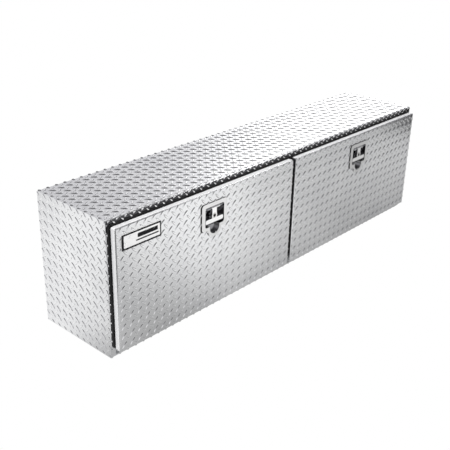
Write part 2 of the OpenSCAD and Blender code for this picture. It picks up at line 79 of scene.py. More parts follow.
class Nodes:
    """A short way to write a material's node tree."""

    def __init__(self, name, **values):
        self.material = bpy.data.materials.new(name)
        self.material.use_nodes = True
        self.tree = self.material.node_tree
        self.shader = self.tree.nodes["Principled BSDF"]
        for key, value in values.items():
            self.shader.inputs[key.replace("_", " ")].default_value = value

    def add(self, kind, links=None, **settings):
        node = self.tree.nodes.new(kind)
        for key, value in settings.items():
            if key in node.inputs:
                node.inputs[key].default_value = value
            else:
                setattr(node, key, value)
        for socket, source in (links or {}).items():
            self.tree.links.new(source, node.inputs[socket])
        return node

    def place(self, scale=(1, 1, 1)):
        """The piece's own coordinates in metres, scaled along each axis."""
        coords = self.add("ShaderNodeTexCoord").outputs["Object"]
        return self.add("ShaderNodeMapping", {"Vector": coords}, Scale=scale).outputs["Vector"]

    def noise(self, scale, stretch=(1, 1, 1), detail=3.0, rough=0.55):
        return self.add("ShaderNodeTexNoise", {"Vector": self.place(stretch)}, Scale=scale,
                        Detail=detail, Roughness=rough).outputs["Fac"]

    def ramp(self, source, low, high, lo_at=0.3, hi_at=0.7):
        """Maps a 0 to 1 value to a range, or to a colour between two colours."""
        node = self.add("ShaderNodeValToRGB", {"Fac": source})
        for element, at, value in zip(node.color_ramp.elements, (lo_at, hi_at), (low, high)):
            element.position = at
            element.color = opaque(value)
        return node.outputs["Color"]

    def drive(self, socket, source):
        self.tree.links.new(source, self.shader.inputs[socket])

    def bump(self, height, strength, distance):
        node = self.add("ShaderNodeBump", {"Height": height}, Strength=strength, Distance=distance)
        self.drive("Normal", node.outputs["Normal"])


def metal(name, dark, light, rough_low, rough_high, grain=(1, 1, 1), grain_scale=60.0,
          bump=0.15, depth=0.00008, metallic=1.0):
    """Bare metal with cloudy tone, uneven polish and fine grain along the stretched axis."""
    m = Nodes(name, Metallic=metallic)
    clouds = m.noise(7.0, detail=4.0)
    m.drive("Base Color", m.ramp(clouds, dark, light))
    streaks = m.noise(grain_scale, grain, detail=5.0, rough=0.6)
    m.drive("Roughness", m.ramp(streaks, rough_low, rough_high, 0.25, 0.75))
    m.bump(streaks, bump, depth)
    return m.material


def plastic(name, dark, light, rough, scale=90.0, bump=0.25, depth=0.0002, gloss=0.5):
    m = Nodes(name, **{"Metallic": 0.0, "Roughness": rough, "Specular IOR Level": gloss})
    m.drive("Base Color", m.ramp(m.noise(scale * 0.2), dark, light))
    m.bump(m.noise(scale, detail=4.0), bump, depth)
    return m.material


def make_materials():
    return {
        "tread_sheet": metal("tread_sheet", (0.80, 0.805, 0.82), (0.88, 0.885, 0.89), 0.20, 0.30,
                             grain=(0.25, 1, 1), grain_scale=140.0, bump=0.10),
        "tread_bars": metal("tread_bars", (0.86, 0.865, 0.87), (0.93, 0.93, 0.935), 0.08, 0.16,
                            grain_scale=200.0, bump=0.12),
        # Whiter, more diffuse copy of the sheet: painted light on the flanges that catch the light
        "flange_painted_light": metal("flange_painted_light", (0.90, 0.90, 0.91), (0.97, 0.97, 0.97), 0.38, 0.50,
                              grain=(0.25, 1, 1), grain_scale=140.0, metallic=0.2),
        # Darker copy of the polished metal: painted shade inside the latch dish
        "dish_painted_shade": metal("dish_painted_shade", (0.24, 0.24, 0.25), (0.42, 0.42, 0.43), 0.08, 0.16,
                             grain_scale=90.0, bump=0.05),
        # Near-black copy of the sheet: painted shade for the header strip above the doors
        "header_painted_shade": metal("header_painted_shade", (0.05, 0.05, 0.055), (0.11, 0.11, 0.115), 0.22, 0.32,
                              grain=(0.25, 1, 1), grain_scale=140.0, bump=0.10),
        "mill_sheet": metal("mill_sheet", (0.68, 0.69, 0.70), (0.80, 0.80, 0.81), 0.32, 0.46,
                            grain=(0.08, 1, 1), grain_scale=180.0, metallic=0.8),
        "polished_stainless": metal("polished_stainless", (0.66, 0.66, 0.66), (0.78, 0.78, 0.78),
                                    0.08, 0.16, grain_scale=90.0, bump=0.05),
        "handle_metal": metal("handle_metal", (0.82, 0.82, 0.82), (0.92, 0.92, 0.92), 0.06, 0.13,
                              grain_scale=90.0, bump=0.05),
        "satin_stainless": metal("satin_stainless", (0.72, 0.72, 0.73), (0.82, 0.82, 0.83),
                                 0.18, 0.30, grain=(0.1, 1, 1), grain_scale=300.0),
        "zinc_steel": metal("zinc_steel", (0.55, 0.56, 0.58), (0.68, 0.69, 0.71), 0.28, 0.45,
                            grain_scale=220.0),
        "hinge_steel": metal("hinge_steel", (0.36, 0.37, 0.38), (0.50, 0.51, 0.52), 0.30, 0.48,
                             grain=(0.1, 1, 1), grain_scale=240.0),
        "lock_metal": metal("lock_metal", (0.60, 0.59, 0.57), (0.76, 0.75, 0.73), 0.15, 0.30,
                            grain_scale=400.0),
        "rubber": plastic("rubber", (0.008, 0.008, 0.008), (0.022, 0.022, 0.023), 0.62),
        "nylon": plastic("nylon", (0.02, 0.02, 0.022), (0.045, 0.045, 0.048), 0.42),
        "label_white": plastic("label_white", (0.87, 0.87, 0.86), (0.93, 0.93, 0.92), 0.28,
                               bump=0.08),
        "label_ink": plastic("label_ink", (0.006, 0.006, 0.007), (0.014, 0.014, 0.016), 0.6,
                             bump=0.08, gloss=0.15),
    }


MATERIAL_OF_SLOT = {
    "tread_plate": "tread_sheet",
    "mill_aluminium": "mill_sheet",
    "hinge_steel": "hinge_steel",
    "rubber": "rubber",
    "nylon": "nylon",
    "label": "label_white",
    "lock_metal": "lock_metal",
    "polished_stainless": "polished_stainless",
    "handle_metal": "handle_metal",
    "stainless": "satin_stainless",
    "zinc_steel": "zinc_steel",
}


# ---- Mesh helpers ----
def shade_smooth(obj, angle=35.0):
    """Smooth faces with sharp edges kept, and normals that follow the large faces."""
    for polygon in obj.data.polygons:
        polygon.use_smooth = True
    obj.data.set_sharp_from_angle(angle=math.radians(angle))
    weighted = obj.modifiers.new("flat_faces", "WEIGHTED_NORMAL")
    weighted.keep_sharp = True


def make_piece(name, bm, body, material, replaces=(), smooth=35.0):
    mesh = bpy.data.meshes.new(name)
    bmesh.ops.recalc_face_normals(bm, faces=bm.faces)
    bm.to_mesh(mesh)
    bm.free()
    obj = bpy.data.objects.new(name, mesh)
    bpy.context.scene.collection.objects.link(obj)
    mesh.materials.append(material)
    shade_smooth(obj, smooth)
    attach(obj, body)
    if replaces:
        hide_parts(*replaces)
    return obj


def add_loops(bm, loops, closed=True):
    """Skins a list of equally long loops of points, and returns their rings of vertices."""
    rings = [[bm.verts.new(p) for p in loop] for loop in loops]
    count = len(rings[0])
    for a, b in zip(rings, rings[1:]):
        for i in range(count if closed else count - 1):
            j = (i + 1) % count
            bm.faces.new((a[i], a[j], b[j], b[i]))
    return rings


def ring_edges(bm, ring):
    """The edges round a ring of vertices, made where they are missing."""
    pairs = zip(ring, ring[1:] + ring[:1])
    return [bm.edges.get(p) or bm.edges.new(p) for p in pairs]


def fill_between(bm, *rings):
    edges = [e for ring in rings for e in ring_edges(bm, ring)]
    bmesh.ops.triangle_fill(bm, use_beauty=True, use_dissolve=False, edges=edges)


def arc(cx, cy, r, a0, a1, steps):
    """Points on an arc, in degrees, both ends included."""
    turn = (a1 - a0) / steps
    angles = [math.radians(a0 + i * turn) for i in range(steps + 1)]
    return [(cx + r * math.cos(a), cy + r * math.sin(a)) for a in angles]


def round_rect(x0, x1, z0, z1, r, steps=6):
    """Outline of a rectangle with round corners, anticlockwise from the lower right."""
    points = arc(x1 - r, z0 + r, r, -90, 0, steps)
    points += arc(x1 - r, z1 - r, r, 0, 90, steps)
    points += arc(x0 + r, z1 - r, r, 90, 180, steps)
    points += arc(x0 + r, z0 + r, r, 180, 270, steps)
    return points


def at_depth(outline, y):
    """Puts an X-Z outline at a depth."""
    return [Vector((x, y, z)) for x, z in outline]


def tube(bm, path, radius, sides=10):
    """Round wire along a path, closed at both ends."""
    rings = []
    for i, p in enumerate(path):
        ahead = path[min(i + 1, len(path) - 1)] - path[max(i - 1, 0)]
        across = ahead.cross(Vector((1, 0, 0.01))).normalized()
        other = ahead.cross(across).normalized()
        turn = [2 * math.pi * k / sides for k in range(sides)]
        rings.append([p + radius * (math.cos(t) * across + math.sin(t) * other) for t in turn])
    made = add_loops(bm, rings)
    for ring in (made[0], made[-1]):
        bm.faces.new(ring)


# ---- Tread pattern: raised lens-shaped bars, set at 45 degrees each way in turn ----
TREAD_PITCH = 28.5 * MM
BAR_LENGTH, BAR_WIDTH, BAR_HEIGHT = 25.5 * MM, 6.8 * MM, 2.1 * MM
BAR_SUNK = 0.25 * MM
BAR_STATIONS = (-0.78, -0.42, 0.0, 0.42, 0.78)
BAR_ACROSS = ((-1.0, None), (-0.5, 0.86), (0.0, 1.0), (0.5, 0.86), (1.0, None))


def bar_points():
    """One bar along X: its rows of points between the two tips, then the tips."""
    rows = []
    for t in BAR_STATIONS:
        half = BAR_WIDTH / 2 * (1 - abs(t) ** 2.2)
        top = BAR_HEIGHT * (1 - t ** 4) ** 0.5
        rows.append([Vector((t * BAR_LENGTH / 2, s * half, -BAR_SUNK if f is None else f * top))
                     for s, f in BAR_ACROSS])
    tips = [Vector((s * BAR_LENGTH / 2, 0, -BAR_SUNK)) for s in (-1, 1)]
    return rows, tips


BAR_ROWS, BAR_TIPS = bar_points()


def add_bar(bm, x, y, angle):
    place = Matrix.Translation((x, y, 0)) @ Matrix.Rotation(angle, 4, "Z")
    rows = [[bm.verts.new(place @ p) for p in row] for row in BAR_ROWS]
    tips = [bm.verts.new(place @ p) for p in BAR_TIPS]
    last = len(BAR_ACROSS) - 1
    for a, b in zip(rows, rows[1:]):
        for i in range(last):
            bm.faces.new((a[i], b[i], b[i + 1], a[i + 1]))
    for i in range(last):
        bm.faces.new((tips[0], rows[0][i], rows[0][i + 1]))
        bm.faces.new((tips[1], rows[-1][i + 1], rows[-1][i]))
    under = [tips[0]] + [r[last] for r in rows] + [tips[1]] + [r[0] for r in reversed(rows)]
    bm.faces.new(under)


def cut_to_sheet(bm, width, height):
    """Cuts the bars off at the sheet's edges and closes them again."""
    for point, normal in (((0, 0, 0), (-1, 0, 0)), ((width, 0, 0), (1, 0, 0)),
                          ((0, 0, 0), (0, -1, 0)), ((0, height, 0), (0, 1, 0))):
        parts = bm.verts[:] + bm.edges[:] + bm.faces[:]
        bmesh.ops.bisect_plane(bm, geom=parts, dist=1e-7, plane_co=point, plane_no=normal,
                               clear_outer=True)
        open_edges = [e for e in bm.edges if e.is_boundary]
        if open_edges:
            bmesh.ops.holes_fill(bm, edges=open_edges, sides=0)


def tread_patch(bm, origin, u, v, width, height, keep=None, phase=(0.5, 0.5)):
    """Covers a rectangle with bars. u and v are unit vectors, and u x v points out of the sheet."""
    inner, border = bmesh.new(), bmesh.new()
    reach = BAR_LENGTH * 0.36
    columns, rows = int(width / TREAD_PITCH) + 2, int(height / TREAD_PITCH) + 2
    for i in range(-1, columns):
        for j in range(-1, rows):
            for half, angle in ((0.0, math.pi / 4), (0.5, -math.pi / 4)):
                x = (i + half + phase[0]) * TREAD_PITCH
                y = (j + half + phase[1]) * TREAD_PITCH
                if not (-reach < x < width + reach and -reach < y < height + reach):
                    continue
                if keep and not keep(x, y):
                    continue
                inside = reach < x < width - reach and reach < y < height - reach
                add_bar(inner if inside else border, x, y, angle)
    cut_to_sheet(border, width, height)
    place = Matrix((u, v, u.cross(v))).transposed().to_4x4()
    place.translation = origin
    for part in (inner, border):
        part.transform(place)
        mesh = bpy.data.meshes.new("patch")
        part.to_mesh(mesh)
        part.free()
        bm.from_mesh(mesh)
        bpy.data.meshes.remove(mesh)


X, Y, Z = Vector((1, 0, 0)), Vector((0, 1, 0)), Vector((0, 0, 1))

# How far the seal's flat lip reaches beyond its CAD ring: above, at the box's ends and at the post
# Widened past the real seal, the black lip is partly the seal and partly a band of painted shade
# round the doors
LIP_AND_SHADE_TOP, LIP_AND_SHADE_OUTER, LIP_AND_SHADE_INNER = 8 * MM, 10 * MM, 9.6 * MM

# ---- Sizes taken from the frame ----
wrap_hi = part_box("body_wrap")[1]
end_lo, end_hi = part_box("left_end_panel")[0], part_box("right_end_panel")[1]
SHEET = end_hi.x - wrap_hi.x
EDGE = 2.0 * MM


def body_tread(materials):
    """Bars on every outer sheet of the body."""
    lo, hi = end_lo, end_hi
    long, deep, tall = hi.x - lo.x - 2 * EDGE, hi.y - lo.y - 2 * EDGE, hi.z - lo.z - 2 * EDGE
    seal_lo, seal_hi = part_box("left_seal")[0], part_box("right_seal")[1]
    over = seal_hi.z + LIP_AND_SHADE_TOP
    strip = over - seal_lo.z
    west, east = seal_lo.x - LIP_AND_SHADE_OUTER, seal_hi.x + LIP_AND_SHADE_OUTER
    sheets = {
        "top": [((lo.x + EDGE, lo.y + EDGE, hi.z), X, Y, long, deep),
                ((lo.x + EDGE, lo.y, over), X, Z, long, hi.z - EDGE - over)],
        "back": [((hi.x - EDGE, hi.y, lo.z + EDGE), -X, Z, long, tall)],
        "floor": [((lo.x + EDGE, hi.y - EDGE, lo.z), X, -Y, long, deep)],
        "left_end": [((lo.x, hi.y - EDGE, lo.z + EDGE), -Y, Z, deep, tall),
                     ((lo.x + EDGE, lo.y, seal_lo.z), X, Z, west - lo.x - EDGE, strip)],
        "right_end": [((hi.x, lo.y + EDGE, lo.z + EDGE), Y, Z, deep, tall),
                      ((east, lo.y, seal_lo.z), X, Z, hi.x - EDGE - east, strip)],
    }
    for name, patches in sheets.items():
        bm = bmesh.new()
        for origin, u, v, width, height in patches:
            tread_patch(bm, Vector(origin), u, v, width, height,
                        keep=off_bolt_holes if name == "floor" else None)
        make_piece(f"{name}_tread_bars", bm, "box", materials["tread_bars"])


BOLT_DX, BOLT_DY, BOLT_CLEAR = 1200 * MM, 160 * MM, 15 * MM


def off_bolt_holes(x, y):
    """Leaves the floor's bolt holes free of bars."""
    long, deep = end_hi.x - end_lo.x, end_hi.y - end_lo.y
    dx = abs(abs(x + EDGE - long / 2) - BOLT_DX / 2)
    dy = abs(abs(deep - EDGE - y + end_lo.y) - BOLT_DY / 2)
    return math.hypot(dx, dy) > BOLT_CLEAR


# ---- Latch outlines, from the dish's own box ----
PLATE_T, BOWL_IN, BOWL_W, BOWL_H, BOWL_R = 1.5 * MM, 12 * MM, 77 * MM, 61 * MM, 6 * MM
SCOOP_R, SCOOP_DROP, PLATE_H = 20 * MM, 5 * MM, 83 * MM


class Latch:
    """Places on one door's latch."""

    def __init__(self, side):
        lo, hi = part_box(f"{side}_latch_dish")
        self.x = (lo.x + hi.x) / 2
        self.half = (hi.x - lo.x) / 2
        self.top, self.front = hi.z, lo.y
        self.bottom = self.top - PLATE_H
        self.bowl_top = self.top - BOWL_IN
        self.bowl_bottom = self.bowl_top - BOWL_H
        self.scoop_z = self.bowl_bottom - SCOOP_DROP
        self.tongue_r = SCOOP_R + 9 * MM

    def cutout(self, margin, steps=6):
        """Outline of the dish's opening with the finger scoop below it."""
        half, r, s = BOWL_W / 2 + margin, BOWL_R + margin, SCOOP_R + margin
        z0, z1 = self.bowl_bottom - margin, self.bowl_top + margin
        points = [(s, z0)] + arc(half - r, z0 + r, r, -90, 0, steps)
        points += arc(half - r, z1 - r, r, 0, 90, steps) + arc(r - half, z1 - r, r, 90, 180, steps)
        points += arc(r - half, z0 + r, r, 180, 270, steps) + [(-s, z0)]
        points += arc(0, self.scoop_z, s, 180, 360, 3 * steps)
        return [(self.x + x, z) for x, z in points]

    def covers(self, x, z, inset):
        """True if a point lies on the plate, more than inset inside its edge."""
        dx = abs(x - self.x)
        on_plate = dx < self.half - inset and self.bottom + inset < z < self.top - inset
        return on_plate or math.hypot(dx, z - self.scoop_z) < self.tongue_r - inset


# ---- Doors ----
BEND_R = 3.2 * MM
BEND_STEPS = 6
DOOR_CORNER_R = 5 * MM
CUTOUT_GAP = 0.8 * MM


def door_skin(side, materials):
    """Pan folded from tread plate: rounded bends, flanges on every side, the latch's cut-out."""
    lo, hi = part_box(f"{side}_door_skin")
    latch = Latch(side)

    def loop(inset, y):
        r = max(DOOR_CORNER_R - inset, 0.6 * MM)
        return at_depth(round_rect(lo.x + inset, hi.x - inset, lo.z + inset, hi.z - inset, r), y)

    bend = [math.radians(90 * k / BEND_STEPS) for k in range(BEND_STEPS + 1)]
    inner_r = BEND_R - SHEET

    def wall(inset, r):
        """The pan's wall and bend, from the flange's edge to the face."""
        return [loop(inset, hi.y)] + [loop(inset + r * (1 - math.cos(a)),
                                           lo.y + inset + r * (1 - math.sin(a))) for a in bend]

    outside, inside = wall(0, BEND_R), wall(SHEET, inner_r)
    bm = bmesh.new()
    rings = add_loops(bm, list(reversed(outside)) + inside)
    cut = latch.cutout(PLATE_T + CUTOUT_GAP)
    hole = add_loops(bm, [at_depth(cut, y) for y in (lo.y, lo.y + SHEET)])
    fill_between(bm, rings[0], hole[0])
    fill_between(bm, rings[-1], hole[1])
    pan = make_piece(f"{side}_door_pan", bm, f"{side}_door",
                     materials["tread_sheet"], replaces=[f"{side}_door_skin"])

    def lit_flange(face):
        """The flanges that catch the light: both doors' top ones and the left door's left one."""
        n = face.normal
        return abs(n.y) < 0.3 and (n.z > 0.9 or (side == "left" and n.z - n.x > 0.3))

    # Painted light: these flanges get a whiter, more diffuse copy of the sheet
    add_material(pan, materials["flange_painted_light"], lit_flange)


def door_tread(side, materials):
    """Bars on a door's face. Its flanges are bent from the sheet's plain border."""
    lo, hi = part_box(f"{side}_door_skin")
    latch = Latch(side)
    bend = BEND_R * 0.8
    wide, tall = hi.x - lo.x - 2 * bend, hi.z - lo.z - 2 * bend

    def keep(x, z):
        return not latch.covers(lo.x + bend + x, lo.z + bend + z, 3 * MM)

    bm = bmesh.new()
    tread_patch(bm, Vector((lo.x + bend, lo.y, lo.z + bend)), X, Z, wide, tall, keep=keep)
    make_piece(f"{side}_door_tread_bars", bm, f"{side}_door",
               materials["tread_bars"])


def seal(side, materials):
    """Bulb seal round an opening: a flat foot and lip, and a round bulb towards the door. Past the
    real seal, the widened black lip is a band of painted shade.
    """
    lo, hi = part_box(f"{side}_seal")
    width, foot, lip_t = 11 * MM, 1.8 * MM, 2.0 * MM
    depth = hi.y - lo.y
    west, east = (LIP_AND_SHADE_OUTER, LIP_AND_SHADE_INNER) if side == "left" else (LIP_AND_SHADE_INNER, LIP_AND_SHADE_OUTER)
    profile = [(0.0, 0.0, 1), (0.0, lip_t, 1), (0.5 * MM, lip_t, 0)]
    profile += [(width / 2 + x * 4.4 * MM, foot + y * (depth - foot), 0)
                for x, y in arc(0, 0, 1.0, 180, 0, 10)]
    profile += [(width, foot, 0), (width, 0.0, 0)]

    def loop(inset, height, lip):
        outline = round_rect(lo.x + inset - lip * west, hi.x - inset + lip * east, lo.z + inset,
                             hi.z - inset + lip * LIP_AND_SHADE_TOP, max(14 * MM - inset, 2 * MM), steps=8)
        return at_depth(outline, hi.y - height)

    bm = bmesh.new()
    rings = add_loops(bm, [loop(*point) for point in profile])
    count = len(rings[0])
    for i in range(count):
        j = (i + 1) % count
        bm.faces.new((rings[-1][i], rings[-1][j], rings[0][j], rings[0][i]))
    make_piece(f"{side}_bulb_seal", bm, "box", materials["rubber"],
               replaces=[f"{side}_seal"], smooth=60)


def spring(side, materials):
    """Torsion spring of round wire on the handle's pin, with a straight leg."""
    lo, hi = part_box(f"{side}_handle_spring")
    pin_lo, pin_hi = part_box(f"{side}_handle_pin")
    centre_y, centre_z = (pin_lo.y + pin_hi.y) / 2, (pin_lo.z + pin_hi.z) / 2
    wire, turns, per_turn = 0.9 * MM, 7, 20
    coil = (hi.z - centre_z) - wire
    x0, x1 = lo.x + wire, hi.x - wire
    leg = lo.z - centre_z
    path = [Vector((x0, centre_y + coil, centre_z + leg * (1 - k / 6))) for k in range(6)]
    steps = turns * per_turn
    for i in range(steps + 1):
        a = 2 * math.pi * i / per_turn
        path.append(Vector((x0 + (x1 - x0) * i / steps, centre_y + coil * math.cos(a),
                            centre_z + coil * math.sin(a))))
    bm = bmesh.new()
    tube(bm, path, wire, sides=8)
    make_piece(f"{side}_spring_wire", bm, f"{side}_door", materials["zinc_steel"],
               replaces=[f"{side}_handle_spring"], smooth=60)


# How far the gasket's edge shows past the plate, and how far it sits to the left of it, as a black
# strip of painted shadow down the plate's left side
GASKET_GROWTH, GASKET_SHADOW_SHIFT = Vector((2.1 * MM, 0, 1.0 * MM)), Vector((-1.1 * MM, 0, 0))


def gasket(side, materials):
    """The dish's gasket, pressed out a little past the plate so that its edge shows; shifted to the
    left, its black rubber is painted shadow along the plate's left edge.
    """
    source = frame["nodes"][f"{side}_latch_gasket"]
    lo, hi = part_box(source.name)
    middle = (lo + hi) / 2
    grow = [1 + 2 * GASKET_GROWTH[i] / (hi[i] - lo[i]) for i in range(3)]
    bm = bmesh.new()
    bm.from_mesh(source.data)
    bmesh.ops.remove_doubles(bm, verts=bm.verts, dist=1e-6)
    for vert in bm.verts:
        grown = [middle[i] + (vert.co[i] - middle[i]) * grow[i] for i in range(3)]
        vert.co = GASKET_SHADOW_SHIFT + Vector(grown)
    make_piece(f"{side}_gasket_edge_and_shadow", bm, f"{side}_door", materials["rubber"],
               replaces=[source.name])


SLOT_HALF_W, SLOT_HALF_H, SLOT_R = 0.6 * MM, 2.6 * MM, 0.3 * MM
SHUTTER_R, SHUTTER_RIM_R, SHUTTER_T, SHUTTER_SIDES = 4.9 * MM, 4.7 * MM, 0.25 * MM, 24


def keyhole(side, materials):
    """Dark shutter round the lock's keyway."""
    lo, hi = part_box(f"{side}_lock_cylinder")
    x, z = (lo.x + hi.x) / 2, (lo.z + hi.z) / 2
    slot = round_rect(x - SLOT_HALF_W, x + SLOT_HALF_W, z - SLOT_HALF_H, z + SLOT_HALF_H, SLOT_R,
                      steps=5)
    last = 360 - 360 / SHUTTER_SIDES

    def ring(radius, y):
        return at_depth(arc(x, z, radius, 0, last, SHUTTER_SIDES - 1), y)

    bm = bmesh.new()
    rings = add_loops(bm, [ring(SHUTTER_R, lo.y), ring(SHUTTER_RIM_R, lo.y - SHUTTER_T)])
    inner = add_loops(bm, [at_depth(slot, lo.y - SHUTTER_T), at_depth(slot, lo.y)])
    fill_between(bm, rings[1], inner[0])
    fill_between(bm, rings[0], inner[1])
    make_piece(f"{side}_key_shutter", bm, f"{side}_lock_body", materials["label_ink"])


LABEL_T, LABEL_CORNER_R, LABEL_BEVEL, INK_T = 1.9 * MM, 3 * MM, 0.5 * MM, 0.15 * MM
BORDER_EDGE, BORDER_LEFT, BORDER_RIGHT, BORDER_LINE = 0.3 * MM, 8.0 * MM, 4.2 * MM, 5.2 * MM
# Plain bars, as shares of the plate's width and height: left, right, bottom and top
LABEL_BARS = ((0.40, 0.91, 0.50, 0.76), (0.36, 0.93, 0.31, 0.39))


def label(materials):
    """Blank label plate: a white field inside a dark border, with two plain bars."""
    lo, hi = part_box("label_plate")
    front = hi.y - LABEL_T

    def loop(inset, y):
        return at_depth(round_rect(lo.x + inset, hi.x - inset, lo.z + inset, hi.z - inset,
                                   max(LABEL_CORNER_R - inset, 0.5 * MM)), y)

    bm = bmesh.new()
    rings = add_loops(bm, [loop(0, hi.y), loop(0, front + LABEL_BEVEL),
                           loop(0.15 * MM, front + 0.15 * MM), loop(LABEL_BEVEL, front)])
    bm.faces.new(rings[-1])
    bm.faces.new(list(reversed(rings[0])))
    make_piece("label_field", bm, "left_door", materials["label_white"],
               replaces=["label_plate"])

    raised, sunk = front - INK_T, front + 0.1 * MM
    bm = bmesh.new()
    inner = round_rect(lo.x + BORDER_LEFT, hi.x - BORDER_RIGHT, lo.z + BORDER_LINE,
                       hi.z - BORDER_LINE, 1.5 * MM)
    add_loops(bm, [loop(BORDER_EDGE, sunk), loop(BORDER_EDGE, raised), at_depth(inner, raised),
                   at_depth(inner, sunk)])
    wide, tall = hi.x - lo.x, hi.z - lo.z
    for x0, x1, z0, z1 in LABEL_BARS:
        outline = round_rect(lo.x + x0 * wide, lo.x + x1 * wide, lo.z + z0 * tall, lo.z + z1 * tall,
                             0.6 * MM, steps=3)
        rings = add_loops(bm, [at_depth(outline, sunk), at_depth(outline, raised)])
        bm.faces.new(rings[-1])
    make_piece("label_rules", bm, "left_door", materials["label_ink"])


def add_material(obj, material, belongs):
    """Gives the faces that pass a test their own material."""
    obj.data.materials.append(material)
    for face in obj.data.polygons:
        if belongs(face):
            face.material_index = len(obj.data.materials) - 1


# ---- CAD nodes that stay: eased edges and their own materials ----
EDGE_WIDTH = {
    "end_panel": 0.7, "body_wrap": 0.5, "center_post": 0.5, "door_liner": 0.5, "hinge_leaf": 0.25,
    "latch_dish": 0.7, "latch_gasket": 0.2, "latch_nuts": 0.4, "_handle": 1.3, "lock_cylinder": 0.4,
    "crank": 0.4, "rod": 0.5, "stay": 0.4, "bushes": 0.5, "rivets": 0.35, "hinge_pin": 0.3,
    "handle_pin": 0.3, "rod_guides": 0.8,
}


def ease_edges(obj, width):
    """Rounds a CAD node's sharp edges with modifiers, which leave its own mesh alone."""
    weld = obj.modifiers.new("weld", "WELD")
    weld.merge_threshold = 1e-6
    flat = obj.modifiers.new("flat", "DECIMATE")
    flat.decimate_type = "DISSOLVE"
    flat.angle_limit = math.radians(0.5)
    bevel = obj.modifiers.new("edges", "BEVEL")
    bevel.width, bevel.segments = width * MM, 2
    bevel.limit_method, bevel.angle_limit = "ANGLE", math.radians(38)
    bevel.harden_normals = False
    weighted = obj.modifiers.new("flat_faces", "WEIGHTED_NORMAL")
    weighted.keep_sharp = True


def dress_nodes(materials):
    slots = {s["node"]: s["material_slot"] for s in frame["record"]["subparts"]}
    for name, obj in frame["nodes"].items():
        material = materials[MATERIAL_OF_SLOT[slots[name]]]
        obj.data.materials.clear()
        obj.data.materials.append(material)
        for polygon in obj.data.polygons:
            polygon.use_smooth = True
        if name.endswith("latch_dish"):
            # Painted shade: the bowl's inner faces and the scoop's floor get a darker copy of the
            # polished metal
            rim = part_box(name)[0].y + 2 * MM
            scoop = Latch(name.split("_")[0]).bowl_bottom - 1 * MM
            add_material(obj, materials["dish_painted_shade"], lambda face: face.center.y > rim
                         and (face.center.z > scoop or face.normal.y < -0.9))
        if name == "body_wrap":
            # Painted shade: the front header strip above the doors gets a near-black copy of the
            # sheet
            add_material(obj, materials["header_painted_shade"],
                         lambda face: face.normal.y < -0.9 and face.center.z > 0.9 * end_hi.z)
        width = next((w for part, w in EDGE_WIDTH.items() if part in name), None)
        if width and not name.endswith("handle_spring"):
            ease_edges(obj, width)


# ---- Studio ----
def blend_stops(tree, value, stops, low=0.0, high=1.0):
    """A smooth ramp through (value, brightness) stops, for a number between low and high."""
    scale = tree.nodes.new("ShaderNodeMapRange")
    scale.inputs["From Min"].default_value, scale.inputs["From Max"].default_value = low, high
    tree.links.new(value, scale.inputs["Value"])
    ramp = tree.nodes.new("ShaderNodeValToRGB")
    ramp.color_ramp.interpolation = "EASE"
    for _ in stops[2:]:
        ramp.color_ramp.elements.new(0.5)
    for element, (at, level) in zip(ramp.color_ramp.elements, stops):
        element.position = (at - low) / (high - low)
        element.color = opaque(level)
    tree.links.new(scale.outputs["Result"], ramp.inputs["Fac"])
    return ramp.outputs["Color"]


def math_node(tree, operation, *values):
    node = tree.nodes.new("ShaderNodeMath")
    node.operation = operation
    for socket, value in zip(node.inputs, values):
        if isinstance(value, (int, float)):
            socket.default_value = value
        else:
            tree.links.new(value, socket)
    return node.outputs[0]


def multiply(tree, a, b, kind="MULTIPLY"):
    node = tree.nodes.new("ShaderNodeMix")
    node.data_type, node.blend_type = "RGBA", kind
    node.inputs["Factor"].default_value = 1.0
    tree.links.new(a, node.inputs["A"])
    tree.links.new(b, node.inputs["B"])
    return node.outputs["Result"]


def area_light(name, place, aim, size, power, glossy):
    data = bpy.data.lights.new(name, "AREA")
    data.shape, data.size, data.size_y = "RECTANGLE", size[0], size[1]
    data.energy = power
    light = bpy.data.objects.new(name, data)
    bpy.context.scene.collection.objects.link(light)
    light.location = place
    light.rotation_mode = "QUATERNION"
    light.rotation_quaternion = (Vector(aim) - Vector(place)).to_track_quat("-Z", "Y")
    light.visible_glossy = glossy


# Brightness of the floor paper as the metal reflects it, a glow with painted light and shade: along
# X, by distance in front, and across a slanting line, painted as if the light fell on it from the
# left. The corner by the camera has painted shadow.
FLOOR_ALONG = ((-1.6, 0.84), (-0.80, 0.84), (-0.50, 0.60), (-0.12, 0.86), (0.15, 0.88),
               (0.65, 0.70), (1.30, 0.60), (1.62, 0.60), (1.70, 0.05))
FLOOR_FORWARD = ((-0.80, 1.0), (-0.69, 0.97), (-0.45, 0.86), (-0.30, 0.68), (-0.16, 0.51),
                 (0.10, 0.86), (0.6, 0.95))
FLOOR_CORNER = ((1.15, 1.0), (1.45, 0.28))
FLOOR_SLANT = ((-0.95, 0.84), (-0.70, 0.89), (-0.50, 0.93), (-0.35, 1.0), (-0.19, 0.97),
               (-0.03, 0.85), (0.10, 0.75), (0.45, 0.73), (0.62, 0.79), (0.80, 0.86),
               (1.0, 0.94), (1.2, 0.98))


FLOOR_HALF, FLOOR_GAP, FLOOR_GLOW = 14.0, 0.1 * MM, 1.32


